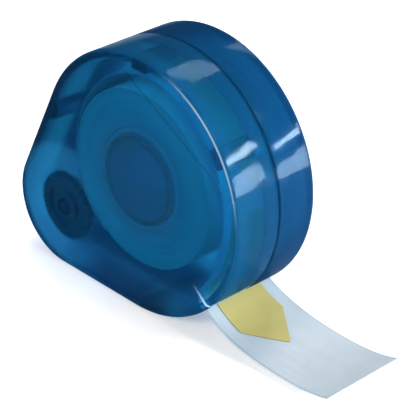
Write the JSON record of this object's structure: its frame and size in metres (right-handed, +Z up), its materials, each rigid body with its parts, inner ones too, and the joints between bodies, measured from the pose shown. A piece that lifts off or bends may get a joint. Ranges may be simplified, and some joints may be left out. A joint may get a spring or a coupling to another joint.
{
  "type": "sticky index tab dispenser",
  "caption": "Palm-size translucent dispenser of sticky index tabs: two-part case, wound roll on a core, pulled-out carrier strip with arrow flags, toothed wheel in a small lobe.",
  "frame": {"origin": "middle of the whole part's footprint, on the surface that the case's flat underside rests on", "axes": "+X along the face towards the pulled-out strip, +Y from the front face to the rear face, +Z up"},
  "size_m": [0.1074, 0.0264, 0.0672],
  "materials": {
    "case": "clear blue moulded plastic, polished",
    "liner": "milky release film, satin",
    "flag": "matte yellow film",
    "core": "plain moulded ring",
    "wheel": "dark moulded plastic"
  },
  "bodies": {
    "case": {"front_shell": "case", "rear_shell": "case", "carrier_strip": "liner", "arrow_flag_1": "flag", "arrow_flag_2": "flag", "arrow_flag_3": "flag"},
    "roll": {"tab_roll": "liner", "roll_core": "core"},
    "wheel": {"toothed_wheel": "wheel"}
  },
  "joints": [
    {"name": "roll_spin", "type": "hinge", "parent": "case", "child": "roll", "pos_m": [-0.01029, 0, 0.0348], "axis": [0, 1, 0], "continuous": true},
    {"name": "wheel_spin", "type": "hinge", "parent": "case", "child": "wheel", "pos_m": [-0.03749, 0, 0.0162], "axis": [0, 1, 0], "continuous": true}
  ]
}
